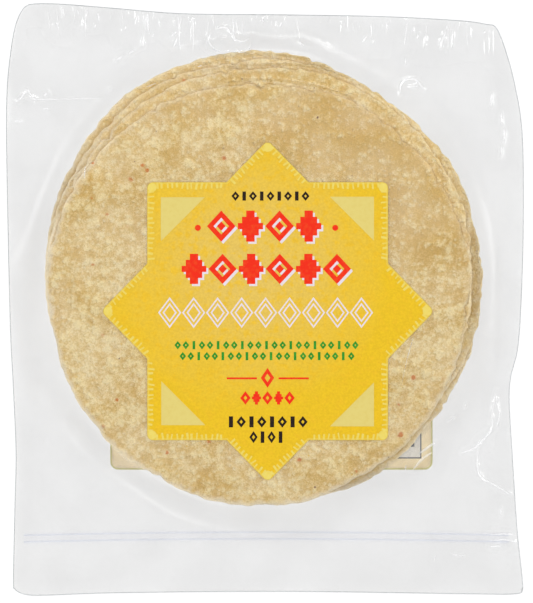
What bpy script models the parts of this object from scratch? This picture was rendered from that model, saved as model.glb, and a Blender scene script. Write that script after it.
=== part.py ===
"""A clear resealable bag with a stack of eight round corn and wheat tortillas in it, lying on its back.

The bag is one closed solid: the film's outer form, drawn down over the rims of the slipped stack and out to
the flat margins. The label on its front, the label under its back and the press zip are solids of their own.
The origin is on the surface that the bag lies on, under the middle of the bag. +Y is the bag's top edge and
+Z the side with the star label. Blender works in metres, and the sizes below are written in millimetres.
"""

import math

import bmesh
import bpy
from mathutils import Vector

MM = 0.001
GAP = 0.3  # between solids that touch on the real pack

# The stack: each tortilla's centre x, centre y and radius, from the top one down
TORTILLAS = (
    (-2.7, 2.7, 88.6),
    (-1.7, 8.2, 89.5),
    (-2.9, 12.0, 88.6),
    (-3.9, 15.9, 88.2),
    (1.3, 10.3, 89.5),
    (2.1, 2.3, 87.8),
    (-1.3, 6.5, 87.8),
    (-3.8, 8.6, 87.4),
)
PITCH = 1.62  # from one tortilla's top to the next
STACK_FOOT = 0.25  # the back film and a little air
FILM_OVER = 0.2  # air between the top tortilla and the front film
CROWN = STACK_FOOT + PITCH * len(TORTILLAS) + FILM_OVER  # height of the front film over the stack
RIM_WAVES = ((3, 0.55), (7, 0.4), (13, 0.25))  # how uneven a rim is: waves in a turn, height
RIM_SHIFT = 1.7  # turns the waves of each rim away from those of the rim above, in radians
RIMS_SHOWN = 6  # the lower two lie under the level of the margins
SHOULDER = 0.5  # the film's bend over a rim, inward of it
RIM_DROP = 1.2  # how far the film falls at each rim before it meets the next one down
RIM_APART = 0.1  # the least gap from one rim's fold of film to the next
FILM_CLEAR = 0.4  # from a rim to the film round it

# The bag's outline, as points of a smooth closed curve from the top left corner, clockwise
OUTLINE = (
    (-96.8, 124.5),
    (-86.0, 124.4),
    (-65.0, 122.8),
    (-34.0, 120.4),
    (8.0, 119.9),
    (50.0, 119.1),
    (82.0, 117.4),
    (93.0, 115.9),
    (97.2, 114.5),
    (100.8, 106.3),
    (104.9, 91.6),
    (108.2, 71.2),
    (108.8, 40.0),
    (108.2, 8.2),
    (106.6, -19.0),
    (103.4, -33.0),
    (102.9, -44.0),
    (104.2, -66.0),
    (106.2, -96.6),
    (108.4, -117.6),
    (108.3, -121.8),
    (105.2, -124.0),
    (82.0, -123.9),
    (8.0, -122.9),
    (-62.0, -123.5),
    (-92.0, -124.5),
    (-101.0, -124.1),
    (-105.2, -121.9),
    (-105.9, -117.6),
    (-105.3, -88.0),
    (-104.8, -64.0),
    (-106.0, -36.0),
    (-107.4, -6.0),
    (-108.8, 62.0),
    (-108.6, 88.0),
    (-107.1, 104.0),
    (-105.4, 114.0),
    (-103.3, 120.0),
    (-100.8, 123.4),
)
STATION_STEP = 8.0  # the longest side between two points of the solid's edge

# The margins, where the two films lie close together
MARGIN_TOP = 4.0  # the front film's height at the foot of the stack
FOOT_RUN = 5.5  # how far out of the lowest rim the film comes down
FOOT_BEND = (1 / 3, 0.6)  # a point on the way down: share of that run, height over the foot
EDGE_THICK = 1.0
EDGE_LIFT = 2.5  # the edges stand off the surface by this, a little more and less in turn
EDGE_WAVES = ((2, 0.5, 0.6), (5, 0.4, 2.1))  # waves in a turn, height, start
LIFT_RUN = 14.0  # the back film rises over this width inside the edge
LIFT_STEPS = (0.4, 0.7, 1.0)  # rings of that rise, as shares of its width
MARGIN_STEPS = (0.4, 0.75)  # rings of the margin, as shares of its width

# The press zip across the bag's lower end
ZIP_Y = -100.2
ZIP_ENDS = (-101.5, 102.5)
ZIP_WIDE = 5.0
ZIP_THICK = 0.7
ZIP_SEAT = 2.0  # height of the zip's lower face
ZIP_RIB_THICK = 0.5
ZIP_RIB_WIDE = 1.0
ZIP_RIB_APART = 3.0

# The star label: a rectangle and a diamond laid over each other, with rounded tips
LABEL_CENTRE = (1.1, -4.9)
LABEL_HALF_WIDE = 50.4
LABEL_HALF_TALL = 54.0
DIAMOND_HALF_WIDE = 69.8
DIAMOND_HALF_TALL = 71.6
LABEL_TIP_R = 2.4
LABEL_THICK = 0.4
LABEL_ARC_SIDES = 4

# The label under the back: a rounded rectangle
BACK_X = (-65.2, 70.6)
BACK_Y = (-71.7, 55.0)
BACK_CORNER_R = 3.4
BACK_THICK = 0.4
BACK_ARC_SIDES = 6
BACK_CUT_UNDER = 1.0  # the cutter of its seat starts this far below the bag

FILM = ("clear film", (0.90, 0.91, 0.92, 1.0), 0.12)
YELLOW_LABEL = ("yellow label", (0.84, 0.56, 0.06, 1.0), 0.35)
CREAM_LABEL = ("cream label", (0.80, 0.66, 0.40, 1.0), 0.5)
ZIP_PLASTIC = ("zip plastic", (0.78, 0.84, 0.93, 1.0), 0.3)


def clear_scene():
    for old in list(bpy.data.objects):
        bpy.data.objects.remove(old)


def material(name, colour, roughness):
    made = bpy.data.materials.new(name)
    made.use_nodes = True
    shader = made.node_tree.nodes["Principled BSDF"]
    shader.inputs["Base Color"].default_value = colour
    shader.inputs["Roughness"].default_value = roughness
    shader.inputs["Metallic"].default_value = 0.0
    return made


def place(name, mesh_maker, finish):
    """A named object with the mesh that mesh_maker fills in, and its material."""
    mesh = bpy.data.meshes.new(name)
    shape = bmesh.new()
    mesh_maker(shape)
    bmesh.ops.recalc_face_normals(shape, faces=shape.faces)
    shape.to_mesh(mesh)
    shape.free()
    made = bpy.data.objects.new(name, mesh)
    bpy.context.scene.collection.objects.link(made)
    mesh.materials.append(finish)
    return made


def cut(target, cutter):
    """Takes cutter out of target. The cutter stays in the scene as a helper that isn't rendered."""
    cutter.hide_render = True
    cutter.display_type = "WIRE"
    hollow = target.modifiers.new(cutter.name, "BOOLEAN")
    hollow.operation = "DIFFERENCE"
    hollow.object = cutter


# The bag


def smooth_step(low, high, value):
    share = min(max((value - low) / (high - low), 0.0), 1.0)
    return share * share * (3 - 2 * share)


def curve_point(points, at, share):
    """A point of the closed Catmull-Rom curve through points, share of the way from point at to the next."""
    before, start, end, after = (Vector(points[(at + k) % len(points)]) for k in (-1, 0, 1, 2))
    straight = 2 * start + (end - before) * share
    bend = (2 * before - 5 * start + 4 * end - after) * share**2
    turn = (3 * start - 3 * end + after - before) * share**3
    return (straight + bend + turn) / 2


def edge_stations():
    """The points of the bag's edge: closer together where the outline's own points are, as at the corners."""
    found = []
    for at, start in enumerate(OUTLINE):
        end = OUTLINE[(at + 1) % len(OUTLINE)]
        sides = max(1, math.ceil((Vector(end) - Vector(start)).length / STATION_STEP))
        found += [curve_point(OUTLINE, at, k / sides) for k in range(sides)]
    return found


def rim_waves(number, angle):
    start = RIM_SHIFT * number
    return sum(high * math.sin(waves * (angle + start)) for waves, high in RIM_WAVES)


def rim_distance(number, angle):
    """How far tortilla number's rim lies from the top tortilla's centre, at this angle."""
    x, y, radius = TORTILLAS[number]
    aim = Vector((math.cos(angle), math.sin(angle)))
    offset = Vector((x, y)) - Vector(TORTILLAS[0][:2])
    along = offset.dot(aim)
    round_part = math.sqrt(radius**2 - offset.length_squared + along**2)
    return along + round_part + rim_waves(number, angle)


def film_profile(angle, edge):
    """(distance, height) of the front film from the crown's border out to the bag's edge."""
    points, reach = [], 0.0
    for number in range(RIMS_SHOWN):
        top = CROWN - PITCH * number
        reach = max(reach + SHOULDER + RIM_APART, rim_distance(number, angle) + FILM_CLEAR)
        points += [(reach - SHOULDER, top), (reach, top - RIM_DROP)]
    run, over = FOOT_BEND
    foot = reach + FOOT_RUN
    points += [(reach + FOOT_RUN * run, MARGIN_TOP + over), (foot, MARGIN_TOP)]
    width, rise = edge - foot, edge_lift(angle) + EDGE_THICK / 2
    for share in MARGIN_STEPS:
        points.append((foot + width * share, MARGIN_TOP + (rise - MARGIN_TOP) * share))
    return points + [(edge - EDGE_THICK, rise)]


def edge_lift(angle):
    return EDGE_LIFT + sum(high * math.sin(waves * angle + start) for waves, high, start in EDGE_WAVES)


def back_profile(angle, edge):
    """(distance, height) of the back film from the bag's edge in to the flat that it lies on."""
    rise = edge_lift(angle) - EDGE_THICK / 2
    steps = [EDGE_THICK] + [LIFT_RUN * share for share in LIFT_STEPS]
    return [(edge - step, rise * (1 - smooth_step(0, LIFT_RUN, step))) for step in steps]


def bag_shape(shape):
    """Rings of points, from the crown out over the rims, round the bag's edge and back in underneath."""
    centre = Vector(TORTILLAS[0][:2])
    spokes = []
    for station in edge_stations():
        out = station - centre
        angle, edge = math.atan2(out.y, out.x), out.length
        profile = film_profile(angle, edge) + [(edge, edge_lift(angle))] + back_profile(angle, edge)
        aim = out.normalized()
        flat = [(centre + aim * away, high) for away, high in profile]
        spokes.append([Vector((point.x, point.y, high)) * MM for point, high in flat])
    rings = [[shape.verts.new(point) for point in ring] for ring in zip(*spokes)]
    for inner, outer in zip(rings, rings[1:]):
        for here in range(len(inner)):
            after = (here + 1) % len(inner)
            shape.faces.new((inner[here], inner[after], outer[after], outer[here]))
    shape.faces.new(rings[0])
    shape.faces.new(reversed(rings[-1]))


# The zip


def box_into(shape, low, high):
    """Adds a box between two corners, given in millimetres."""
    corners = bmesh.ops.create_cube(shape, size=1.0)["verts"]
    middle, size = (Vector(low) + Vector(high)) / 2, Vector(high) - Vector(low)
    bmesh.ops.scale(shape, verts=corners, vec=size * MM)
    bmesh.ops.translate(shape, verts=corners, vec=middle * MM)


def zip_shape(shape):
    """A flat tape with two ribs pulled up out of it: an outline in Y and Z, extruded along X."""
    top = ZIP_SEAT + ZIP_THICK
    half, rib = ZIP_WIDE / 2, ZIP_RIB_WIDE / 2
    outline = [(-half, ZIP_SEAT), (half, ZIP_SEAT), (half, top)]
    for middle in (ZIP_RIB_APART / 2, -ZIP_RIB_APART / 2):
        outline += [(middle + rib, top), (middle + rib / 2, top + ZIP_RIB_THICK)]
        outline += [(middle - rib / 2, top + ZIP_RIB_THICK), (middle - rib, top)]
    outline.append((-half, top))
    start, end = ZIP_ENDS
    section = [shape.verts.new(Vector((start, ZIP_Y + y, z)) * MM) for y, z in outline]
    drawn = bmesh.ops.extrude_face_region(shape, geom=[shape.faces.new(section)])
    moved = [item for item in drawn["geom"] if isinstance(item, bmesh.types.BMVert)]
    bmesh.ops.translate(shape, verts=moved, vec=Vector((end - start, 0, 0)) * MM)


def zip_seat_shape(shape):
    start, end = ZIP_ENDS
    reach = ZIP_WIDE / 2 + GAP
    low = (start - GAP, ZIP_Y - reach, ZIP_SEAT - GAP)
    high = (end + GAP, ZIP_Y + reach, CROWN)
    box_into(shape, low, high)


# The labels


def rounded(corners, radii, sides):
    """The closed outline through corners, each one turned into an arc of its radius, or kept if that is 0."""
    found = []
    for at, corner in enumerate(corners):
        corner = Vector(corner)
        if not radii[at]:
            found.append(corner)
            continue
        back = (Vector(corners[at - 1]) - corner).normalized()
        ahead = (Vector(corners[(at + 1) % len(corners)]) - corner).normalized()
        half = back.angle(ahead) / 2
        centre = corner + (back + ahead).normalized() * radii[at] / math.sin(half)
        first = corner + back * radii[at] / math.tan(half) - centre
        last = corner + ahead * radii[at] / math.tan(half) - centre
        turn = first.angle(last)
        for k in range(sides + 1):
            share = k / sides
            weight = math.sin(turn * (1 - share)), math.sin(turn * share)
            found.append(centre + (first * weight[0] + last * weight[1]) / math.sin(turn))
    return found


def star_corners():
    """The 16 corners of the label, tip and notch in turn, round its own centre."""
    notch_x = DIAMOND_HALF_WIDE * (1 - LABEL_HALF_TALL / DIAMOND_HALF_TALL)
    notch_y = DIAMOND_HALF_TALL * (1 - LABEL_HALF_WIDE / DIAMOND_HALF_WIDE)
    quarter = [
        (DIAMOND_HALF_WIDE, 0),
        (LABEL_HALF_WIDE, notch_y),
        (LABEL_HALF_WIDE, LABEL_HALF_TALL),
        (notch_x, LABEL_HALF_TALL),
        (0, DIAMOND_HALF_TALL),
    ]
    upper = quarter + [(-x, y) for x, y in reversed(quarter[:-1])]
    return upper + [(x, -y) for x, y in reversed(upper[1:-1])]


def plate(shape, outline, low, thick):
    """A flat plate: the outline as a face at height low, extruded up by thick."""
    face = shape.faces.new([shape.verts.new(Vector((x, y, low)) * MM) for x, y in outline])
    drawn = bmesh.ops.extrude_face_region(shape, geom=[face])
    moved = [item for item in drawn["geom"] if isinstance(item, bmesh.types.BMVert)]
    bmesh.ops.translate(shape, verts=moved, vec=Vector((0, 0, thick)) * MM)


def star_label_shape(shape):
    corners = star_corners()
    radii = [LABEL_TIP_R if at % 2 == 0 else 0 for at in range(len(corners))]
    outline = [point + Vector(LABEL_CENTRE) for point in rounded(corners, radii, LABEL_ARC_SIDES)]
    plate(shape, outline, CROWN + GAP, LABEL_THICK)


def back_outline(grow):
    """The back label's outline, grown by grow on every side."""
    (left, right), (low, high) = BACK_X, BACK_Y
    corners = [
        (right + grow, low - grow),
        (right + grow, high + grow),
        (left - grow, high + grow),
        (left - grow, low - grow),
    ]
    return rounded(corners, [BACK_CORNER_R + grow] * 4, BACK_ARC_SIDES)


def back_label_shape(shape):
    plate(shape, back_outline(0), 0, BACK_THICK)


def back_seat_shape(shape):
    plate(shape, back_outline(GAP), -BACK_CUT_UNDER, BACK_CUT_UNDER + BACK_THICK + GAP)


def build():
    clear_scene()
    film = material(*FILM)
    bag = place("bag", bag_shape, film)
    cut(bag, place("zip_seat", zip_seat_shape, film))
    cut(bag, place("back_label_seat", back_seat_shape, film))
    place("zip_strip", zip_shape, material(*ZIP_PLASTIC))
    place("star_label", star_label_shape, material(*YELLOW_LABEL))
    place("back_label", back_label_shape, material(*CREAM_LABEL))


build()
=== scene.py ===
# %% [markdown]
# A stack of corn tortillas in a clear bag.
# This lesson dresses a plain, correctly sized model of the pack. The model gives the places
# and sizes, and every visible piece is made here: eight tortillas, the film around them, the
# press zip, and the two labels.
# The first cell loads the model.

# %% Load the plain model
import math
import random

import bmesh
import bpy
import numpy as np
from mathutils import Matrix, Vector


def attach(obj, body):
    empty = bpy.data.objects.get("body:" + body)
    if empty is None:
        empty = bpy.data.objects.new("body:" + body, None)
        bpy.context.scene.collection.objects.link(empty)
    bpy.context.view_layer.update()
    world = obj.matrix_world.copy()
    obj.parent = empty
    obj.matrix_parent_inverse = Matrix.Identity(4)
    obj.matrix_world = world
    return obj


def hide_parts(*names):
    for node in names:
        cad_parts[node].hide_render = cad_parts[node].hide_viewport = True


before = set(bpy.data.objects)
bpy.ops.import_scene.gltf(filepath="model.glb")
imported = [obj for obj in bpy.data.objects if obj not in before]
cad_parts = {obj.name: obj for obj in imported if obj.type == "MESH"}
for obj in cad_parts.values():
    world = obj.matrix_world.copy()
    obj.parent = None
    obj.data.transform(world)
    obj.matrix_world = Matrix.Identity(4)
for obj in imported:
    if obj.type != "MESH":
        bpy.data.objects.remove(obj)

MM = 0.001
TURN = 2 * math.pi
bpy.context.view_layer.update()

# %% [markdown]
# The stack has slipped in its bag, so each tortilla has a centre of its own.
# These are the numbers that the plain model was built from, in millimetres, and the film and
# the tortillas below both read them. That is what keeps the film clear of every rim.

# %% The stack's measures
TORTILLAS = (  # centre x, centre y and radius, from the top one down
    (-2.7, 2.7, 88.6),
    (-1.7, 8.2, 89.5),
    (-2.9, 12.0, 88.6),
    (-3.9, 15.9, 88.2),
    (1.3, 10.3, 89.5),
    (2.1, 2.3, 87.8),
    (-1.3, 6.5, 87.8),
    (-3.8, 8.6, 87.4),
)
PITCH = 1.62  # from one tortilla's top to the next
STACK_FOOT = 0.25  # the back film and a little air
FILM_OVER = 0.2  # air between the top tortilla and the front film
CROWN = STACK_FOOT + PITCH * len(TORTILLAS) + FILM_OVER
RIM_WAVES = ((3, 0.55), (7, 0.4), (13, 0.25))  # how uneven a rim is: waves in a turn, height
RIM_SHIFT = 1.7  # turns the waves of each rim away from those of the one above, in radians


def rim_waves(number, angle):
    """How far a rim stands out of its circle: the same slow waves as on the plain model."""
    start = RIM_SHIFT * number
    return sum(high * np.sin(waves * (angle + start)) for waves, high in RIM_WAVES)


print("the stack's crown is", round(CROWN, 2), "mm high")

# %% [markdown]
# Four small helpers for shapes.
# The first two give a soft border and a round spot. The third is the smooth curve that the
# bag's outline and its folds are drawn with. The last one hands worked-out places to a mesh.
# All but the third take whole arrays, so one call works for all points of a mesh at once.

# %% Helpers for shapes
def smooth_step(low, high, value):
    share = np.clip((value - low) / (high - low), 0.0, 1.0)
    return share * share * (3 - 2 * share)


def round_spot(x, y, middle_x, middle_y, reach):
    """1 in the middle of a spot, fading to 0 outside it."""
    return np.exp(-((x - middle_x) ** 2 + (y - middle_y) ** 2) / reach**2)


def curve_between(before, start, end, after, share):
    """A place on the smooth curve through four points, between the middle two."""
    straight = 2 * start + (end - before) * share
    bend = (2 * before - 5 * start + 4 * end - after) * share**2
    turn = (3 * start - 3 * end + after - before) * share**3
    return (straight + bend + turn) / 2


def move_points(verts, layers, place, marks):
    """Puts points at places in millimetres, and gives each its marks for the material to read."""
    for vert, x, y, z, *values in zip(verts, *place, *marks):
        vert.co = Vector((x, y, z)) * MM
        for layer, value in zip(layers, values):
            vert[layer] = value


print("a quarter of the way into a soft border:", round(float(smooth_step(0, 1, 0.25)), 2))

# %% [markdown]
# Natural things need noise: blisters, crumbs and ripples are soft blobs in no order.
# Blender has a noise for one point at a time, which is slow for a mesh of fifty thousand.
# This one does a whole array at once: it looks up random numbers at the corners of a square
# lattice, and blends between them. Each seed turns its lattice, so that layers don't line up.

# %% Noise for a whole mesh
LATTICE = 128
LATTICE_TURN = 0.7


def cloud(x, y, size, seed):
    """Noise from -1 to 1 at places in millimetres. Its blobs are about size across."""
    table = np.random.default_rng(seed).uniform(-1, 1, (LATTICE, LATTICE))
    turn = LATTICE_TURN * seed
    across = (x * math.cos(turn) - y * math.sin(turn)) / size
    up = (x * math.sin(turn) + y * math.cos(turn)) / size
    column, row = np.floor(across).astype(int), np.floor(up).astype(int)
    side, rise = smooth_step(0, 1, across - column), smooth_step(0, 1, up - row)
    near, far = column % LATTICE, (column + 1) % LATTICE
    low, high = row % LATTICE, (row + 1) % LATTICE
    lower = table[near, low] * (1 - side) + table[far, low] * side
    upper = table[near, high] * (1 - side) + table[far, high] * side
    return lower * (1 - rise) + upper * rise


sample = cloud(np.linspace(0, 90, 500), np.zeros(500), 4.0, 1)
print("noise runs from", round(float(sample.min()), 2), "to", round(float(sample.max()), 2))

# %% [markdown]
# Every material below is a small graph of shader nodes. Blender's nodes can be added in many
# lines each, or by one helper that takes a node's kind, its settings and what goes into it.
# The helper keeps the graphs short enough to read as a list of layers.
# Colours are written as they look on a screen, as hex values, and turned to the linear values
# that a shader works with. Patterns are sized in millimetres: a noise that repeats every
# 3 mm has a scale of one over 0.003.
# Some nodes have several inputs of one name, so theirs are given by number. Those of a Map
# Range node are, from 0 on: the value, the range that it comes from, and the range it goes to.

# %% Helpers for materials
OBJECT = "Object"
UNDER, OVER = 6, 7  # the two colours that go into a Mix node; input 0 is the upper one's share
RESULT = 2  # the colour that comes out of it


def linear(hex_colour, alpha=1.0):
    """A screen colour such as #D8B878 as linear red, green, blue and alpha."""
    channels = [int(hex_colour[at:at + 2], 16) / 255 for at in (1, 3, 5)]
    return tuple(c / 12.92 if c <= 0.04045 else ((c + 0.055) / 1.055) ** 2.4 for c in channels) + (alpha,)


def every(size_mm):
    """The scale of a texture whose features repeat about every size_mm."""
    return 1 / (size_mm * MM)


def add_node(material, kind, inputs=None, **settings):
    """Adds a node with its settings. An input is a value, a hex colour, or a node to link.

    A node is linked by its first output; where another one is meant, that output is given.
    """
    node = material.node_tree.nodes.new("ShaderNode" + kind)
    for name, value in settings.items():
        setattr(node, name, value)
    for socket, value in (inputs or {}).items():
        if isinstance(value, bpy.types.Node):
            value = value.outputs[0]
        if isinstance(value, bpy.types.NodeSocket):
            material.node_tree.links.new(value, node.inputs[socket])
        else:
            node.inputs[socket].default_value = linear(value) if isinstance(value, str) else value
    return node


def new_material(name):
    """An empty material, and the coordinates of the piece it is on."""
    material = bpy.data.materials.new(name)
    material.use_nodes = True
    material.node_tree.nodes.clear()
    return material, add_node(material, "TexCoord").outputs[OBJECT]


def finish_material(material, shader):
    add_node(material, "OutputMaterial", {"Surface": shader})
    print(material.name, "has", len(material.node_tree.nodes), "nodes")
    return material


# %% [markdown]
# Corn dough that has been baked on a hot griddle.
# The dough is masa, ground from lime-cooked corn, with some wheat flour. It is matt and warm
# tan. Where it puffed against the griddle its skin dried to paler, raised blisters, and here
# and there it scorched to orange. Bits of the corn's hull stay as dark red specks.
# The pale skin follows the relief of the mesh, so the mesh carries a "puff" value for the
# material to read, and the shader adds what is finer: round blisters of two sizes and the
# ground grain. Blisters come from a pattern of cells: each cell holds a soft disc, and its
# random colour says how full it is. All these are added up, a ramp turns the sum into a share,
# and the pale colour is mixed over the tan by that share. Dry rims, a painted shade in the gaps
# under the rims of higher tortillas, specks and scorches are mixed over it in the same way.

# %% The griddled dough material
GRAIN = 0.65  # ground corn, in millimetres
CRUMB = 1.6  # single grains that stand out
BLISTERS = ((4.6, 0.9), (2.1, 0.9))  # how far apart they stand, how much they count
BLOTCH = 17.0  # slow change of the tan
DOUGH_TAN = "#E4C67A"
DOUGH_DEEP = "#DCBA67"
DOUGH_PALE = "#FBEEC0"
# painted shade: the dark brown of the dough in the gaps under the rims above
GAP_SHADE_COLOUR = "#A97F42"
DOUGH_RIM = "#F0E2C2"
SCORCH = "#D68200"
# the last mark is painted shade in the gaps under the rims above
DOUGH_MARKS = ("puff", "rim", "toast", "gap_shade")
CRUMB_PART, GRAIN_PART = 1.1, 1.8  # what crumb and grain add to how dried the skin is
DRIED = (1.7, 3.0)  # the sum where the skin starts to be pale, and where it is palest
PALE_MOST = 0.82  # how far the palest skin goes from tan to pale
RIM_MOST = 0.9
SCORCH_MOST = 0.92
RAGGED = 1.2  # how far, in millimetres, the grain shifts the edge of a blister or speck
GRAIN_DEEP = 0.12
BLISTER_DEEP = 0.28
SPECKS = (  # apart, core and edge of the spot, how rare, colour
    (7.5, 0.035, 0.075, 0.58, "#6E2E18"),
    (4.6, 0.05, 0.12, 0.62, "#E2BE50"),
    (11.0, 0.05, 0.10, 0.72, "#D68C45"),
)


def griddled_dough():
    dough, place = new_material("griddled_corn_dough")
    puff, rim, toast, gap_shade = (
        add_node(dough, "Attribute", attribute_name=name).outputs["Fac"] for name in DOUGH_MARKS
    )
    grain, crumb, blotch = (
        add_node(dough, "TexNoise", {"Vector": place, "Scale": every(size), "Detail": 3.0})
        for size in (GRAIN, CRUMB, BLOTCH)
    )
    blotched = add_node(dough, "MapRange", {0: blotch, 1: 0.35, 2: 0.65})

    off = add_node(dough, "VectorMath", {0: grain, 1: (0.5, 0.5, 0.5)}, operation="SUBTRACT")
    off = add_node(dough, "VectorMath", {0: off, "Scale": RAGGED * MM}, operation="SCALE")
    ragged = add_node(dough, "VectorMath", {0: place, 1: off}, operation="ADD")
    dried = puff
    for layer, weight in ((crumb, CRUMB_PART), (grain, GRAIN_PART)):
        dried = add_node(dough, "Math", {0: layer, 1: weight, 2: dried}, operation="MULTIPLY_ADD")
    for apart, weight in BLISTERS:
        inputs = {"Vector": ragged, "Scale": every(apart)}
        cells = add_node(dough, "TexVoronoi", inputs, voronoi_dimensions="2D").outputs
        inputs = {0: cells["Distance"], 1: 0.15, 2: 0.55, 3: weight, 4: 0.0}
        disc = add_node(dough, "MapRange", inputs)
        full = add_node(dough, "SeparateColor", {0: cells["Color"]})
        dried = add_node(dough, "Math", {0: disc, 1: full, 2: dried}, operation="MULTIPLY_ADD")
    paled = add_node(dough, "MapRange", {0: dried, 1: DRIED[0], 2: DRIED[1], 3: 0.0, 4: PALE_MOST})
    dry_rim = add_node(dough, "MapRange", {0: rim, 1: 0.0, 2: 0.8, 3: 0.0, 4: RIM_MOST})
    skin = DOUGH_DEEP
    # the last layer is painted shade, which darkens the gaps under the rims above
    for share, over in ((blotched, DOUGH_TAN), (paled, DOUGH_PALE), (dry_rim, DOUGH_RIM), (gap_shade, GAP_SHADE_COLOUR)):
        skin = add_node(dough, "Mix", {0: share, UNDER: skin, OVER: over}, data_type="RGBA").outputs[RESULT]
    shade = add_node(dough, "MapRange", {0: grain, 1: 0.3, 2: 0.7, 3: 0.90, 4: 1.08})
    skin = add_node(dough, "VectorMath", {0: skin, "Scale": shade}, operation="SCALE")

    spotted = []
    for apart, core, edge, rare, colour in SPECKS:
        spots = add_node(dough, "TexVoronoi", {"Vector": ragged, "Scale": every(apart)}).outputs
        inputs = {0: spots["Distance"], 1: core, 2: edge, 3: 1.0, 4: 0.0}
        near = add_node(dough, "MapRange", inputs)
        chance = add_node(dough, "SeparateColor", {0: spots["Color"]})
        chosen = add_node(dough, "MapRange", {0: chance, 1: rare, 2: rare + 0.2, 3: 0.0, 4: 0.9})
        spotted.append((add_node(dough, "Math", {0: near, 1: chosen}, operation="MULTIPLY"), colour))
    torn = add_node(dough, "Math", {0: toast, 1: crumb}, operation="MULTIPLY")
    spotted.append((add_node(dough, "MapRange", {0: torn, 1: 0.20, 2: 0.42, 3: 0.0, 4: SCORCH_MOST}), SCORCH))
    for share, over in spotted:
        skin = add_node(dough, "Mix", {0: share, UNDER: skin, OVER: over}, data_type="RGBA").outputs[RESULT]

    fine = add_node(dough, "Bump", {"Height": grain, "Distance": GRAIN_DEEP * MM, "Strength": 0.8})
    relief = add_node(
        dough, "Bump", {"Height": dried, "Distance": BLISTER_DEEP * MM, "Strength": 0.8, "Normal": fine}
    )
    inputs = {"Base Color": skin, "Roughness": 0.82, "IOR": 1.4, "Normal": relief}
    shader = add_node(dough, "BsdfPrincipled", inputs)
    return finish_material(dough, shader)


dough = griddled_dough()

# %% [markdown]
# Each tortilla is a thin disc of dough, 7 inches across.
# It could be a cylinder with its edge bevelled, but then its face would be one flat polygon
# with nothing to shape. A profile spun round the axis gives rings where they are needed: close
# together near the rim, wide apart under the label. Spinning takes long for many hundred
# steps, so a flat grid is rolled up instead: one side of the grid runs along the profile and
# the other goes round. Its first and last column then meet, and are merged, and so are the
# points on the axis.

# %% A plain disc by rolling up a grid
THICK = 1.42
RIM_SIDES = 6
TOP_STEP = 0.85  # between rings where they show
HIDDEN_STEP = 9.0  # between rings where they don't
WELD = 0.002  # points closer than this become one


def ring_radii(radius, fine_from, step):
    """Distances of the rings from the axis: coarse inside fine_from, step apart outside it."""
    coarse = list(np.arange(HIDDEN_STEP, fine_from, HIDDEN_STEP))
    count = max(2, round((radius - fine_from) / step))
    return coarse + list(np.linspace(fine_from, radius, count, endpoint=False))


def disc_profile(radius, fine_from, step):
    """From the middle of the top, round the rim, to the middle of the underside."""
    half = THICK / 2
    flat = radius - half
    top = [(0.0, THICK)] + [(out, THICK) for out in ring_radii(flat, fine_from, step)]
    leans = [math.pi * side / RIM_SIDES for side in range(RIM_SIDES + 1)]
    rim = [(flat + half * math.sin(lean), half + half * math.cos(lean)) for lean in leans]
    under = [(out, 0.0) for out in reversed(ring_radii(flat, flat - 12, 4.0))] + [(0.0, 0.0)]
    return top + rim + under


def rolled_disc(profile, turns):
    shape = bmesh.new()
    rows = len(profile) - 1
    made = bmesh.ops.create_grid(shape, x_segments=turns, y_segments=rows, size=1.0)["verts"]
    for vert in made:
        angle = math.pi * vert.co.x
        out, high = profile[round((vert.co.y + 1) / 2 * rows)]
        vert.co = Vector((out * math.cos(angle), out * math.sin(angle), high)) * MM
    bmesh.ops.remove_doubles(shape, verts=shape.verts, dist=WELD * MM)
    bmesh.ops.recalc_face_normals(shape, faces=shape.faces)
    return shape


sample = rolled_disc(disc_profile(TORTILLAS[0][2], 46.0, TOP_STEP), 24)
print("a disc in 24 steps has", len(sample.faces), "faces")
print("open edges:", sum(edge.is_boundary for edge in sample.edges))
sample.free()

# %% [markdown]
# Now the disc becomes a tortilla.
# Three things move its points. Slow waves bend the rim as on the plain model. Crumbs and
# nicks break the rim, with a noise that is read round the circle. Puffs lift the face where
# dough dried on the griddle: a noise of about the size of a blister, and more of it on some
# parts of the face than on others.
# The top one shows its whole face, so it gets the finest mesh. Of the others only the border
# shows, and their middle stays coarse.

# %% Rims, puffs and the eight tortillas
CRUMBS = ((1.5, 0.26), (3.4, 0.45), (8.0, 0.50))  # size along the rim, depth
CRUMB_OUT = 0.33  # the film starts a little further out
NICKS = 24  # breaks in each rim, by chance this deep and wide
NICK_DEPTH = (0.4, 2.2)
NICK_WIDTH = (0.5, 2.2)
LEAST_PALE_SIDE = math.radians(50)  # where the rims are least pale, at the upper right
DRY = 0.6  # how dry the rims are on the whole
BORDER = 7.0  # the rim's unevenness fades out over this width
PUFFS = ((1.5, 0.32), (2.6, 0.34), (6.0, 0.16), (26.0, 0.24))  # blister size, weight
PUFF_HIGH = 0.30  # from the smooth skin to the top of a blister
RIM_RISE = 0.06  # small bumps along the rim
RIM_CALM = 0.25  # the border puffs less
FACE_PATCHES = (  # where the top face stayed smooth, or with less than 0 puffed more: x, y, reach, strength
    (50.0, 66.0, 32.0, 0.58),
    (18.0, 82.0, 26.0, 0.30),
    (76.0, 30.0, 20.0, 0.25),
    (-30.0, 84.0, 14.0, 0.25),
    (-72.0, 2.0, 34.0, -0.22),
    (4.0, -76.0, 40.0, -0.34),
    (78.0, -20.0, 22.0, -0.15),
)
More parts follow.
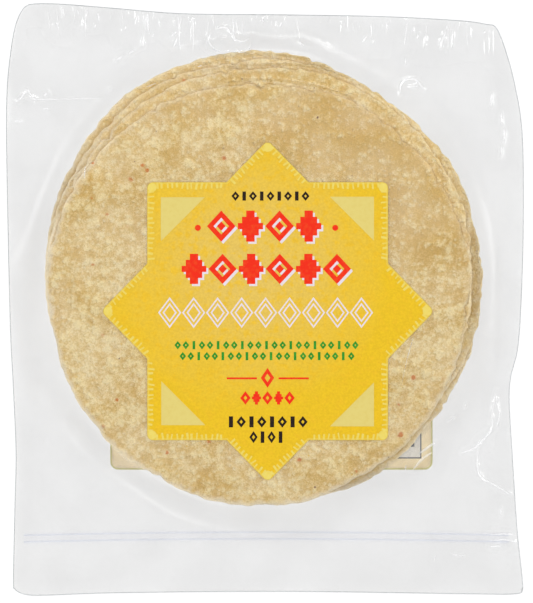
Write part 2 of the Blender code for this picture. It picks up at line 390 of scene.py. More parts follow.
SCORCHES = (  # marks on the top face: x, y, radius
    (-17.1, 59.2, 1.3),
    (-51.1, 56.1, 1.1),
    (-49.4, 54.0, 1.2),
    (-56.3, 50.2, 1.2),
    (-66.2, 35.8, 1.0),
    (-72.2, 57.3, 0.9),
    (-72.7, 42.4, 0.9),
    (-72.2, 14.5, 0.9),
    (62.2, -32.7, 1.3),
    (56.0, -43.8, 0.9),
    (14.2, -67.1, 1.5),
    (56.7, -56.7, 1.6),
    (-23.5, -59.4, 1.2),
    (-62.0, -42.0, 1.0),
    (-41.0, -64.0, 1.1),
    (38.0, -72.0, 1.0),
)
CRACKS = (
    ((-64.5, 60.2), (-60.0, 57.0), (-56.0, 55.5), (-54.6, 53.7), (-51.6, 51.2)),
    ((-64.5, 13.1), (-59.0, 14.1), (-51.6, 14.6)),
)
GAP_SHADE_REACH = 1.5  # how far out from the rim above the painted shade of the gap reaches
# how dark the painted shade of the gap gets at most
GAP_SHADE_MOST = 0.45
CRACK_WIDE = 0.7
CRACK_DEEP = 0.22
SHARP_FROM = math.radians(50)


def ridge(x, y, high, wide, points):
    """The height that one line of points adds at each place: a rounded ridge, or a groove."""
    points = np.array(points)
    low, top = points.min(0) - 3 * wide, points.max(0) + 3 * wide
    near = np.flatnonzero((x > low[0]) & (x < top[0]) & (y > low[1]) & (y < top[1]))
    place = np.stack([x[near], y[near]], axis=-1)
    away = np.full(len(near), np.inf)
    for start, end in zip(points, points[1:]):
        run = end - start
        share = np.clip(((place - start) @ run) / (run @ run), 0, 1)
        away = np.minimum(away, np.hypot(*(place - start - share[:, None] * run).T))
    added = np.zeros_like(x)
    added[near] = high * np.exp(-((away / wide) ** 2))
    return added


def broken_rim(number, radius, angle):
    """How far the rim stands out of its circle at each angle, crumbs and nicks included."""
    slow = rim_waves(number, angle)
    out = slow
    around = radius * np.cos(angle), radius * np.sin(angle)
    for size, deep in CRUMBS:
        out = out + deep * (cloud(*around, size, 11 * number + round(size)) - 0.1)
    dice = random.Random(40 + number)
    for _ in range(NICKS):
        where, deep, wide = dice.uniform(0, TURN), dice.uniform(*NICK_DEPTH), dice.uniform(*NICK_WIDTH)
        away = (angle - where + math.pi) % TURN - math.pi
        out = out - deep * dice.random() * np.exp(-((away * radius / wide) ** 2))
    return np.minimum(out, slow + CRUMB_OUT)


def puff_at(number, x, y):
    """0 on smooth skin, 1 on a dried blister."""
    value = 0.5 + sum(weight * cloud(x, y, size, 20 * number + k) for k, (size, weight) in enumerate(PUFFS))
    if number == 0:
        for px, py, reach, strength in FACE_PATCHES:
            value -= strength * round_spot(x, y, px, py, reach)
    return np.clip(value, 0, 1)


def shade_under_rims(number, x, y):
    """1 close to the rim of a tortilla that lies higher: painted shade, which darkens the dough in the gap
    under it.
    """
    nearest = np.full_like(x, GAP_SHADE_REACH)
    for above in range(number):
        cx, cy, radius = TORTILLAS[above]
        turned = np.arctan2(y - cy, x - cx)
        away = np.hypot(x - cx, y - cy) - radius - broken_rim(above, radius, turned)
        nearest = np.minimum(nearest, away)
    return GAP_SHADE_MOST * (1 - smooth_step(0.0, GAP_SHADE_REACH, nearest))


def bake(shape, number):
    """Moves a plain disc's points to where one tortilla has them, and marks them for the dough."""
    cx, cy, radius = TORTILLAS[number]
    x, y, z = np.array([vert.co for vert in shape.verts]).T / MM
    out, angle = np.hypot(x, y), np.arctan2(y, x)
    near_rim = smooth_step(radius - BORDER, radius, out)
    stretch = 1 + broken_rim(number, radius, angle) * near_rim / radius
    x, y, upper = cx + x * stretch, cy + y * stretch, z / THICK
    puff = puff_at(number, x, y) * (1 - RIM_CALM * near_rim)
    # the rims are paler the further they lie round from the upper right
    dry = DRY - (1 - DRY) * np.cos(angle - LEAST_PALE_SIDE)
    rim = dry * smooth_step(radius - 2.6, radius - 0.2, out + 0.9 * cloud(x, y, 1.8, 5 + number))
    z = z + CROWN - FILM_OVER - PITCH * number - THICK
    z += PUFF_HIGH / 2 * ((puff - 0.5) * upper + (1 - puff) * (1 - upper))
    z += RIM_RISE * near_rim * upper * cloud(x, y, 1.3, 9 + number)
    toast = np.zeros_like(x)
    if number == 0:
        for px, py, size in SCORCHES:
            toast += round_spot(x, y, px, py, size)
        for crack in CRACKS:
            z -= ridge(x, y, CRACK_DEEP, CRACK_WIDE, crack) * upper
    layers = [shape.verts.layers.float.new(name) for name in DOUGH_MARKS]
    # painted shade where the dough lies close under the rim of a higher tortilla
    gap_shade = shade_under_rims(number, x, y) * (1 - smooth_step(radius - 1.2, radius - 0.5, out))
    move_points(shape.verts, layers, (x, y, z), (puff, rim, toast, gap_shade))


def add_object(name, data):
    made = bpy.data.objects.new(name, data)
    bpy.context.scene.collection.objects.link(made)
    return made


def to_mesh(name, shape, material):
    mesh = bpy.data.meshes.new(name)
    shape.to_mesh(mesh)
    shape.free()
    mesh.materials.append(material)
    return mesh


def add_piece(name, shape, material, replaced=()):
    """Makes a bmesh a smooth piece of the pack, with its material."""
    mesh = to_mesh(name, shape, material)
    mesh.shade_smooth()
    mesh.set_sharp_from_angle(angle=SHARP_FROM)
    piece = add_object(name, mesh)
    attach(piece, "root")
    if replaced:
        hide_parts(*replaced)
    print(name, "has", sum(len(face.vertices) - 2 for face in mesh.polygons), "triangles")


for number, (_, _, radius) in enumerate(TORTILLAS):
    fine_from, turns = (46.0, 840) if number == 0 else (70.0, 620)
    shape = rolled_disc(disc_profile(radius, fine_from, TOP_STEP), turns)
    bake(shape, number)
    add_piece(f"tortilla_{number + 1}", shape, dough)

# %% [markdown]
# The bag is clear polythene film, about 0.06 mm thick.
# Film is seen by three things: what it reflects, the little light that it takes, and its
# creases. Real glass bends light, but film is far too thin for that, so a Glass shader would
# be wrong here. A Transparent shader lets the light straight through with a slight grey, and
# a Glossy one is mixed in by the angle of view, as film shines more at a slant.
# A trace of a matt white shader is the haze that polythene has.
# Where the film is smooth, its reflection is blurred, as by the fine waves that film always has.
# Along creases it is sharp. The mesh marks them with the values "crinkle" and "pleat". A third
# value, "stuck", marks the film over the back label, which looks clearer there.

# %% The film material
FILM_IOR = 1.45
FILM_TINT = "#F3F3F3"
FILM_ROUGH = 0.36  # where it is smooth: fine waves blur what it mirrors
CREASE_ROUGH = 0.13
FILM_HAZE = 0.05  # at most, in cloudy patches
RIPPLE = 16.0
FINE_RIPPLE = 3.6
CRINKLE = 3.0
PLEAT_WIDE = 1.7
PLEAT_LONG = 22.0
RELIEF = (0.9, 0.08, 0.8, 0.6)  # depths in millimetres: ripple, fine ripple, pleats, crinkles


def clear_film(name, tint, rough=FILM_ROUGH, least=0.0, most=FILM_HAZE):
    film, place = new_material(name)
    crinkle = add_node(film, "Attribute", attribute_name="crinkle").outputs["Fac"]
    pleat = add_node(film, "Attribute", attribute_name="pleat").outputs["Fac"]
    stretched = add_node(film, "Mapping", {"Vector": place, "Scale": (1.0, PLEAT_WIDE / PLEAT_LONG, 1.0)})
    ripple = add_node(film, "TexNoise", {"Vector": place, "Scale": every(RIPPLE), "Detail": 1.0})
    fine = add_node(film, "TexNoise", {"Vector": place, "Scale": every(FINE_RIPPLE), "Detail": 1.0})
    folds = add_node(film, "TexNoise", {"Vector": stretched, "Scale": every(PLEAT_WIDE), "Detail": 1.0})
    facets = add_node(film, "TexVoronoi", {"Vector": place, "Scale": every(CRINKLE)}).outputs["Distance"]
    facets = add_node(film, "Math", {0: facets, 1: crinkle}, operation="MULTIPLY")
    folds = add_node(film, "Math", {0: folds, 1: pleat}, operation="MULTIPLY")
    normal = None
    for height, deep in zip((ripple, fine, folds, facets), RELIEF):
        inputs = {"Height": height, "Distance": deep * MM, "Strength": 1.0}
        if normal:
            inputs["Normal"] = normal
        normal = add_node(film, "Bump", inputs)
    stuck = add_node(film, "Attribute", attribute_name="stuck").outputs["Fac"]
    inputs = {0: stuck, UNDER: tint, OVER: "#FFFFFF"}
    passing = add_node(film, "Mix", inputs, data_type="RGBA").outputs[RESULT]
    through = add_node(film, "BsdfTransparent", {"Color": passing})
    creased = add_node(film, "Math", {0: crinkle, 1: pleat}, operation="ADD")
    blurred = add_node(film, "MapRange", {0: creased, 2: 0.6, 3: rough, 4: CREASE_ROUGH})
    inputs = {"Color": "#FFFFFF", "Roughness": blurred, "Normal": normal}
    shine = add_node(film, "BsdfGlossy", inputs)
    haze = add_node(film, "BsdfDiffuse", {"Color": "#F4F5F6", "Normal": normal})
    facing = add_node(film, "Fresnel", {"IOR": FILM_IOR, "Normal": normal})
    clear = add_node(film, "MixShader", {0: facing, 1: through, 2: shine})
    hazy = add_node(film, "MapRange", {0: ripple, 1: 0.35, 2: 0.65, 3: least, 4: most})
    whole = add_node(film, "MixShader", {0: hazy, 1: clear, 2: haze})
    return finish_material(film, whole)


film_finish = clear_film("polythene_film", FILM_TINT)

# %% [markdown]
# The bag's outline is drawn through a few dozen points, as a smooth closed curve.
# It is the plain model's outline. The curve is split into four sides at the bag's corners,
# and a square grid is stretched between them. The grid's rows then follow the bag's own
# edges, and so do its pleats.

# %% The bag's outline
OUTLINE = (
    (-96.8, 124.5),
    (-86.0, 124.4),
    (-65.0, 122.8),
    (-34.0, 120.4),
    (8.0, 119.9),
    (50.0, 119.1),
    (82.0, 117.4),
    (93.0, 115.9),
    (97.2, 114.5),
    (100.8, 106.3),
    (104.9, 91.6),
    (108.2, 71.2),
    (108.8, 40.0),
    (108.2, 8.2),
    (106.6, -19.0),
    (103.4, -33.0),
    (102.9, -44.0),
    (104.2, -66.0),
    (106.2, -96.6),
    (108.4, -117.6),
    (108.3, -121.8),
    (105.2, -124.0),
    (82.0, -123.9),
    (8.0, -122.9),
    (-62.0, -123.5),
    (-92.0, -124.5),
    (-101.0, -124.1),
    (-105.2, -121.9),
    (-105.9, -117.6),
    (-105.3, -88.0),
    (-104.8, -64.0),
    (-106.0, -36.0),
    (-107.4, -6.0),
    (-108.8, 62.0),
    (-108.6, 88.0),
    (-107.1, 104.0),
    (-105.4, 114.0),
    (-103.3, 120.0),
    (-100.8, 123.4),
)
CORNERS = (38, 8, 20, 27)  # which outline points are the corners, clockwise from the top left
SIDE_SAMPLES = 12  # between two points of the outline


def curve_point(at, share):
    """A point of the outline's curve, at a share of the way from one of its points to the next."""
    return curve_between(*(np.array(OUTLINE[(at + k) % len(OUTLINE)]) for k in (-1, 0, 1, 2)), share)


def outline_side(first, last):
    """Points of the curve from one corner to the next, and each one's share of the way."""
    count = (last - first) % len(OUTLINE)
    points = [curve_point(first + at, k / SIDE_SAMPLES) for at in range(count) for k in range(SIDE_SAMPLES)]
    points = np.array(points + [OUTLINE[last]])
    steps = np.hypot(*np.diff(points, axis=0).T)
    way = np.concatenate(([0.0], np.cumsum(steps)))
    return points, way / way[-1]


SIDES = [outline_side(CORNERS[k], CORNERS[(k + 1) % 4]) for k in range(4)]
EDGE = np.concatenate([points[:-1] for points, _ in SIDES])


def on_side(side, share):
    points, way = SIDES[side]
    return np.stack([np.interp(share, way, points[:, 0]), np.interp(share, way, points[:, 1])], axis=-1)


def patch(u, v):
    """Where a point of the square grid lies in the bag. u runs to the right and v up, 0 to 1."""
    top, right, bottom, left = on_side(0, u), on_side(1, 1 - v), on_side(2, 1 - u), on_side(3, v)
    u, v = u[:, None], v[:, None]
    sides = (1 - v) * bottom + v * top + (1 - u) * left + u * right
    low = (1 - u) * SIDES[3][0][0] + u * SIDES[2][0][0]
    high = (1 - u) * SIDES[0][0][0] + u * SIDES[1][0][0]
    return sides - (1 - v) * low - v * high


print("the outline's sides have", [len(points) for points, _ in SIDES], "points")

# %% [markdown]
# How high the film lies at a place.
# In front, the film rests on the top tortilla, falls over each rim in turn, and slopes out to
# the edge. Each rim's fall is one curve of the distance outside it, and the film takes the
# highest of them, rounded where two meet. Behind, it lies flat under the stack, runs over the
# back label, and rises to the bag's edge, which stands off the table.

# %% Heights of the front and the back film
MARGIN_TOP = 4.0  # at the foot of the stack
FOOT_RUN = 5.5  # how far out of the top rim the film comes down
EDGE_THICK = 1.0
EDGE_LIFT = 2.5  # the edge stands off the table by this, a little more and less in turn
EDGE_WAVES = ((2, 0.5, 0.6), (5, 0.4, 2.1))  # waves in a turn, height, start
LIFT_RUN = 14.0  # the back film rises over this width inside the edge
FILM_CLEAR = 0.75  # how far outside a rim the film starts to fall
FALL_SLOPE = 1.0  # how steeply the film falls over a rim
FALL_WAVES = ((3, 0.16, 1.0), (5, 0.12, 0.4), (11, 0.06, 2.0))  # it is steeper at some angles
FALL_BEND = 0.7  # how softly it bends over
RIM_BLEND = 0.5  # how softly one rim's fall meets the next one's
FOOT_BLEND = 5.0  # how softly the last fall meets the margin
SEAM_THICK = 0.12
BACK_X = (-65.2, 70.6)
BACK_Y = (-71.7, 55.0)
BACK_THICK = 0.4
BACK_CLEAR = 0.03  # between the film and what lies under it

CENTRE = np.array(TORTILLAS[0][:2])
edge_angles = np.arctan2(EDGE[:, 1] - CENTRE[1], EDGE[:, 0] - CENTRE[0])
edge_order = np.argsort(edge_angles)
edge_reach = np.hypot(EDGE[:, 0] - CENTRE[0], EDGE[:, 1] - CENTRE[1])


def soft_max(first, second, blend):
    """The higher of two surfaces, rounded where they cross. It is never lower than either."""
    share = np.clip(0.5 + 0.5 * (first - second) / blend, 0, 1)
    return second * (1 - share) + first * share + blend * share * (1 - share)


def outside(number, x, y):
    """How far a place lies outside a tortilla's rim; less than 0 is inside."""
    cx, cy, radius = TORTILLAS[number]
    return np.hypot(x - cx, y - cy) - radius - rim_waves(number, np.arctan2(y - cy, x - cx))


def edge_height(angle):
    return EDGE_LIFT + sum(high * np.sin(waves * angle + start) for waves, high, start in EDGE_WAVES)


def about_edge(x, y):
    """The angle of a place round the stack, its distance, and the bag's edge at that angle."""
    angle = np.arctan2(y - CENTRE[1], x - CENTRE[0])
    reach = np.interp(angle, edge_angles[edge_order], edge_reach[edge_order], period=TURN)
    return angle, np.hypot(x - CENTRE[0], y - CENTRE[1]), reach


def front_height(x, y):
    angle, out, edge = about_edge(x, y)
    foot = TORTILLAS[0][2] + FOOT_RUN
    share = np.clip((out - foot) / (edge - foot), 0, 1)
    height = MARGIN_TOP + (edge_height(angle) + EDGE_THICK / 2 - MARGIN_TOP) * share
    uneven = 1 + sum(high * np.sin(waves * angle + start) for waves, high, start in FALL_WAVES)
    drape = np.zeros_like(x)
    for number in range(len(TORTILLAS)):
        away = outside(number, x, y) - FILM_CLEAR
        fall = FALL_SLOPE * (np.sqrt(away**2 + FALL_BEND**2) + away) / 2
        drape = soft_max(drape, CROWN - PITCH * number - fall * uneven, RIM_BLEND)
    drape = np.minimum(drape, CROWN)
    return np.minimum(soft_max(drape, height, FOOT_BLEND), CROWN)


def over_label(x, y):
    """How far inside the back label's outline a place is; less than 0 is outside."""
    return np.minimum.reduce([x - BACK_X[0], BACK_X[1] - x, y - BACK_Y[0], BACK_Y[1] - y])


def back_height(x, y):
    angle, out, edge = about_edge(x, y)
    rise = edge_height(angle) * (1 - smooth_step(0, LIFT_RUN, edge - out))
    raised = BACK_THICK * smooth_step(-3.0, 0.0, over_label(x, y))
    return np.maximum(rise, raised) + BACK_CLEAR


middle = np.array([0.0])
print("the film lies", round(float(front_height(middle, middle)[0]), 2), "mm over the table")

# %% [markdown]
# Creases make film look like film.
# A flat clear sheet from straight above is nearly invisible: it is the creases that tilt it
# towards the lights. Each crease is written as a few points. In the film's own mesh it is a
# low, rounded ridge, and the sharp folds made further below run along the same points. The
# small pleats along the top weld are drawn by chance, with a fixed seed. Slow waves in the
# margins bend what the film mirrors into soft patches.

# %% Creases, pleats and slow waves
CREASES = (  # height, half width, points of the ridge
    (0.16, 0.8, ((62.6, -14.1), (59.5, -25.0), (57.0, -36.5))),
    (0.55, 0.9, ((97.1, -38.1), (95.5, -48.3), (95.1, -54.8), (89.7, -61.0), (87.2, -63.1), (82.7, -64.5))),
    (0.40, 0.8, ((97.0, -41.8), (98.6, -48.0), (97.5, -53.5))),
    (0.50, 0.9, ((89.7, -61.0), (89.3, -68.6), (90.0, -73.3), (92.2, -75.8), (96.2, -77.8), (103.1, -82.0))),
    (0.35, 0.8, ((99.5, -87.2), (99.3, -91.0))),
    (0.35, 0.8, ((84.6, -43.2), (84.0, -45.5))),
    (0.35, 1.2, ((79.6, -49.3), (77.0, -51.0))),
    (0.75, 0.8, ((71.6, -59.9), (64.3, -64.9))),
    (0.80, 0.9, ((70.1, -64.2), (66.0, -67.0), (62.2, -71.5))),
    (0.50, 0.9, ((59.2, -69.3), (58.8, -71.9))),
    (0.40, 0.8, ((94.5, -99.0), (100.0, -98.7), (105.0, -98.9))),
    (0.40, 0.8, ((96.0, -101.5), (101.0, -101.0), (106.0, -102.2))),
    (0.35, 0.8, ((94.0, -104.0), (99.5, -103.6))),
    (0.35, 1.0, ((83.9, -108.0), (79.0, -107.2))),
    (0.25, 0.8, ((71.6, -107.0), (71.2, -110.0))),
    (0.40, 0.9, ((7.1, 116.8), (6.0, 114.5))),
    (0.35, 0.8, ((14.0, 108.5), (16.8, 106.3))),
    (0.50, 0.9, ((42.9, 111.0), (40.8, 107.8))),
    (0.40, 0.9, ((45.9, 109.4), (45.2, 107.6))),
    (0.40, 0.9, ((58.0, 118.0), (61.0, 118.0))),
    (0.45, 0.9, ((62.9, 114.6), (61.8, 112.6))),
    (0.45, 0.9, ((64.5, 111.6), (63.8, 109.2))),
    (0.55, 0.9, ((67.0, 110.8), (66.6, 105.5))),
    (0.70, 1.0, ((76.2, 113.0), (74.6, 109.0), (73.6, 105.0))),
    (0.45, 0.9, ((78.9, 112.4), (78.3, 105.5))),
    (0.35, 0.9, ((91.8, 112.0), (93.0, 113.0))),
    (0.50, 0.9, ((56.6, 86.5), (57.2, 90.4), (59.5, 92.3), (63.5, 92.3), (66.6, 88.6))),
    (0.55, 0.9, ((59.5, 89.4), (64.2, 89.6))),
    (0.35, 1.2, ((59.2, 101.5), (59.0, 99.0))),
    (0.45, 1.1, ((95.2, 86.5), (95.0, 81.0))),
    (0.50, 1.2, ((99.3, 78.4), (99.6, 73.7))),
    (0.50, 1.2, ((100.6, 71.5), (100.3, 66.8))),
    (0.45, 1.2, ((99.5, 64.5), (99.2, 60.0))),
    (0.35, 0.8, ((-88.4, 116.1), (-86.4, 116.1))),
    (0.35, 0.8, ((-76.0, 117.2), (-76.4, 115.6))),
    (0.35, 0.8, ((-71.2, 115.8), (-71.8, 113.8))),
    (0.35, 0.8, ((-58.6, 114.8), (-59.0, 113.4))),
    (0.45, 0.8, ((-51.0, 111.0), (-51.7, 106.3))),
    (0.40, 0.8, ((-46.8, 111.8), (-47.2, 110.2))),
    (0.50, 0.8, ((-37.0, 112.6), (-39.5, 110.8))),
    (0.45, 0.8, ((-37.0, 109.8), (-38.4, 106.0))),
    (0.45, 0.8, ((-54.7, 105.0), (-57.6, 103.2))),
    (0.45, 0.8, ((-59.8, 102.2), (-62.6, 100.6))),
    (0.55, 0.9, ((-20.2, 113.6), (-18.4, 114.3), (-15.8, 113.9), (-14.6, 111.6))),
    (0.55, 0.9, ((-22.6, 112.2), (-23.8, 109.2), (-22.9, 107.0), (-20.6, 104.6), (-18.6, 104.4))),
    (0.45, 0.9, ((-13.9, 112.2), (-13.3, 109.8), (-10.0, 108.4), (-6.5, 109.6))),
    (0.45, 0.9, ((-12.2, 105.4), (-10.6, 103.8), (-7.8, 104.4), (-6.0, 107.0))),
    (0.25, 0.8, ((-104.5, 84.4), (-90.0, 84.2), (-68.0, 84.6))),
    (0.60, 0.9, ((-103.6, 83.6), (-101.6, 86.0), (-100.0, 88.0), (-98.6, 86.4), (-96.4, 83.8))),
    (0.80, 1.1, ((-93.0, 85.6), (-91.4, 87.0))),
    (0.35, 0.8, ((-65.1, 89.5), (-65.2, 88.0))),
    (0.30, 0.9, ((-93.4, 80.2), (-91.0, 80.3))),
    (0.30, 0.9, ((-105.6, 75.2), (-101.6, 75.0))),
    (0.30, 1.1, ((-87.4, 72.0), (-86.6, 71.0))),
    (0.30, 0.8, ((-28.4, 97.6), (-26.4, 98.2))),
    (0.30, 0.8, ((-50.0, 89.0), (-45.5, 90.8))),
    (0.30, 0.8, ((-75.2, 56.0), (-75.6, 50.5))),
)
CREASE_HIGH = 0.8  # in the sheet itself a crease is a low, wide swell
CREASE_WIDE = 1.3
PLEATS = 46
PLEAT_X = (-99.0, 90.0)
PLEAT_RUN = (4.0, 16.0)
PLEAT_HIGH = (0.10, 0.40)
PLEAT_HALF = (0.7, 1.2)
SLOW_WAVES = 9
SLOW_SIZE = (26.0, 70.0)
SLOW_HIGH = 0.30
STACK_WAVES = 0.03  # over the stack the film is nearly smooth


def top_edge(x):
    points, _ = SIDES[0]
    return np.interp(x, points[:, 0], points[:, 1])


def pleat_lines():
    """The small pleats below the top weld, written like the creases."""
    dice = random.Random(7)
    lines = []
    for _ in range(PLEATS):
        start = dice.uniform(*PLEAT_X)
        top = float(top_edge(start)) - dice.uniform(0.5, 3.0)
        long, lean = dice.uniform(*PLEAT_RUN) * dice.random(), dice.uniform(-1.6, 1.6)
        points = ((start, top), (start + lean, top - 1 - long))
        lines.append((dice.uniform(*PLEAT_HIGH), dice.uniform(*PLEAT_HALF), points))
    return tuple(lines)


def slow_waves(x, y, seed):
    dice = random.Random(seed)
    added = np.zeros_like(x)
    for _ in range(SLOW_WAVES):
        size, lean, start = dice.uniform(*SLOW_SIZE), dice.uniform(0, math.pi), dice.uniform(0, TURN)
        along = x * math.cos(lean) + y * math.sin(lean)
        added += SLOW_HIGH / 3 * np.sin(TURN * along / size + start)
    return added


def off_stack(x, y):
    """How far a place lies outside the stack."""
    return np.minimum.reduce([outside(number, x, y) for number in range(len(TORTILLAS))])


def in_margin(x, y):
    """0 over the stack, 1 well outside it."""
    return smooth_step(1.0, 12.0, off_stack(x, y))


def off_edge(x, y):
    """0 on the bag's edge, 1 a little way inside it."""
    _, out, edge = about_edge(x, y)
    return smooth_step(0.0, 3.0, edge - out)


print(len(CREASES), "creases and", PLEATS, "pleats")

# %% [markdown]
# The front and the back film are one closed skin.
# A bmesh grid of each is stretched over the outline and lifted to its height. The front one
# is four times as fine, as its creases show, and its rows stand closer together towards the
# edges, where they are. The two borders are then joined by bridging them.

# %% The film
FRONT_ROWS = (260, 292)
BACK_ROWS = (134, 152)
CROWDED = 0.2  # how much closer the rows stand at the edges
BACK_WAVES = 0.25
FILM_MARKS = ("crinkle", "pleat", "stuck")
CRINKLE_REACH = 1.5
CRUMPLED = (  # x, y, reach, strength
    (74.0, 108.0, 9.0, 0.35),
    (-18.0, 109.0, 8.0, 0.35),
    (62.0, 90.0, 5.0, 0.3),
    (92.0, -60.0, 9.0, 0.3),
    (99.0, -101.0, 6.0, 0.6),
    (65.0, -67.0, 5.0, 0.4),
)


def crowded(value):
    """Moves grid lines, -1 to 1, towards both ends."""
    return value * (1 + CROWDED) - CROWDED * value**3


def crinkled(x, y):
    """1 along the creases and in the crumpled corners of the bag, 0 where the film is smooth."""
    near = sum(ridge(x, y, high, CRINKLE_REACH, points) for high, _, points in CREASES)
    for px, py, reach, strength in CRUMPLED:
        near += strength * round_spot(x, y, px, py, reach)
    return np.clip(near, 0, 1)


def pleated(x, y):
    return smooth_step(-26.0, -2.0, y - top_edge(x)) * (0.3 + 0.7 * np.clip(0.5 + cloud(x, y, 9.0, 4), 0, 1))


def film_sheet(shape, rows, height):
    """One side of the bag, added to shape. height gives each place its height, in millimetres."""
    made = bmesh.ops.create_grid(shape, x_segments=rows[0], y_segments=rows[1], size=1.0)["verts"]
    at = np.array([vert.co[:2] for vert in made])
    place = patch((crowded(at[:, 0]) + 1) / 2, (crowded(at[:, 1]) + 1) / 2)
    x, y = place[:, 0], place[:, 1]
    z = height(x, y)
    on_edge = np.max(np.abs(at), axis=1) > 0.9999
    seam_side = SEAM_THICK / 2 if height is wrinkled_front else -SEAM_THICK / 2
    z = np.where(on_edge, edge_height(np.arctan2(y - CENTRE[1], x - CENTRE[0])) + seam_side, z)
    stuck = smooth_step(0.0, 2.0, over_label(x, y))
    if height is wrinkled_front:
        stuck *= smooth_step(0.0, 1.0, off_stack(x, y))
    layers = [shape.verts.layers.float[name] for name in FILM_MARKS]
    move_points(made, layers, (x, y, z), (crinkled(x, y), pleated(x, y), stuck))


def wrinkled_front(x, y):
    margin, inner = in_margin(x, y), off_edge(x, y)
    added = slow_waves(x, y, 3) * (STACK_WAVES + (1 - STACK_WAVES) * margin)
    for high, wide, points in CREASES + pleat_lines():
        added += ridge(x, y, CREASE_HIGH * high, CREASE_WIDE * wide, points)
    return front_height(x, y) + added * (0.15 + 0.85 * inner)


def wrinkled_back(x, y):
    margin, inner = in_margin(x, y), off_edge(x, y)
    waves = BACK_WAVES * (1 + slow_waves(x, y, 11)) * margin * inner
    return back_height(x, y) + waves


def film_shape():
    shape = bmesh.new()
    for name in FILM_MARKS:
        shape.verts.layers.float.new(name)
    film_sheet(shape, FRONT_ROWS, wrinkled_front)
    film_sheet(shape, BACK_ROWS, wrinkled_back)
    borders = [edge for edge in shape.edges if edge.is_boundary]
    bmesh.ops.bridge_loops(shape, edges=borders)
    bmesh.ops.recalc_face_normals(shape, faces=shape.faces)
    print("open edges left in the film:", sum(edge.is_boundary for edge in shape.edges))
    return shape


add_piece("film", film_shape(), film_finish, ["bag"])

# %% [markdown]
# Round the bag the two films are welded, and the weld is a bead as thin as a thread.
# It is denser than the film, and its grey is also a painted shade for the dark line that bent
# light draws along the bag's edge. It is a square section carried round the outline, one
# section to each of the outline's points.

# %% The welded edge
# painted shade: the weld's grey also stands for the dark line that bent light draws at the edge
BEAD_GREY_AND_EDGE_SHADE = "#E2E5E6"
BEAD_HALF = 0.16
BEAD_IN = 0.12  # how far its middle lies inside the outline


def bead_shape():
    shape = bmesh.new()
    run = np.roll(EDGE, -1, axis=0) - np.roll(EDGE, 1, axis=0)
    inward = np.stack([run[:, 1], -run[:, 0]], axis=-1) / np.hypot(run[:, 0], run[:, 1])[:, None]
    middle = EDGE + BEAD_IN * inward
    height = edge_height(np.arctan2(middle[:, 1] - CENTRE[1], middle[:, 0] - CENTRE[0]))
    rows = []
    for side, rise in ((-1, -1), (1, -1), (1, 1), (-1, 1)):
        x, y = (middle + side * BEAD_HALF * inward).T
        places = zip(x, y, height + rise * BEAD_HALF)
        rows.append([shape.verts.new(Vector(place) * MM) for place in places])
    for first, second in zip(rows, rows[1:] + rows[:1]):
        for k in range(len(EDGE)):
            shape.faces.new((first[k], first[k - 1], second[k - 1], second[k]))
    bmesh.ops.recalc_face_normals(shape, faces=shape.faces)
    return shape


add_piece("welded_edge", bead_shape(), clear_film("welded_polythene", BEAD_GREY_AND_EDGE_SHADE))

# %% [markdown]
# The sharp folds.
# Where film is pinched, it keeps a fold as thin as a hair, which shows as a white line as soon
# as one of its two slopes mirrors a lamp. The film's own grid is too coarse for that. Each fold
# is therefore laid on the film as a low wedge: a section of three points, placed at short steps
# along the crease and joined by faces. It is lowest at its ends, and its height varies a
# little, so that the line of light is uneven as on the real bag.

# %% The sharp folds
FOLD_STEP = 0.7
FOLD_HALF = 0.42
FOLD_HIGH = 0.42  # times the half width: the slope that mirrors the lamps
FOLD_UNEVEN = 0.35
FOLD_SUNK = 0.03
FOLD_WHITE_AND_HIGHLIGHT = (0.16, 0.26)  # polythene turns white where it is bent sharply; this white is also a painted highlight that keeps every fold a bright line
FOLD_BOLD = 0.55  # creases at least this high get the full width


def along_line(points, step):
    """Places at even steps on a smooth line through the points."""
    points = np.array(points)
    padded = np.vstack([2 * points[0] - points[1], points, 2 * points[-1] - points[-2]])
    count = max(2, round(float(np.hypot(*np.diff(points, axis=0).T).sum()) / step / (len(points) - 1)))
    line = []
    for around in zip(padded, padded[1:], padded[2:], padded[3:]):
        line += [curve_between(*around, share) for share in np.arange(count) / count]
    return np.array(line + [points[-1]])


def add_fold(shape, line, half, number):
    """One wedge along a line. Its first and last section are drawn together to a point."""
    run = np.gradient(line, axis=0)
    across = np.stack([-run[:, 1], run[:, 0]], axis=-1) / np.hypot(run[:, 0], run[:, 1])[:, None]
    body = np.sin(np.linspace(0, math.pi, len(line))) ** 0.5 + 0.02
    high = FOLD_HIGH * half * body * (1 + FOLD_UNEVEN * cloud(line[:, 0], line[:, 1], 2.5, number))
    rows = []
    for side, rise in ((-1, 0), (0, 1), (1, 0)):
        x, y = (line + side * half * body[:, None] * across).T
        z = wrinkled_front(x, y) - FOLD_SUNK + rise * high
        rows.append([shape.verts.new(Vector(place) * MM) for place in zip(x, y, z)])
    for first, second in zip(rows, rows[1:] + rows[:1]):
        for k in range(len(line) - 1):
            shape.faces.new((first[k], first[k + 1], second[k + 1], second[k]))
    for k in (0, -1):
        shape.faces.new([row[k] for row in rows])


def folds_shape():
    shape = bmesh.new()
    lines = [(high, points) for high, _, points in CREASES + pleat_lines()]
    for number, (high, points) in enumerate(lines):
        half = FOLD_HALF * min(1.4, high / FOLD_BOLD)
        add_fold(shape, along_line(points, FOLD_STEP), half, 60 + number)
    bmesh.ops.recalc_face_normals(shape, faces=shape.faces)
    print("open edges left in the folds:", sum(edge.is_boundary for edge in shape.edges))
    return shape


# the folds' white haze is partly real stress whitening and partly a painted highlight along each fold
fold_finish = clear_film("pinched_polythene", "#FFFFFF", CREASE_ROUGH, *FOLD_WHITE_AND_HIGHLIGHT)
add_piece("film_folds", folds_shape(), fold_finish)

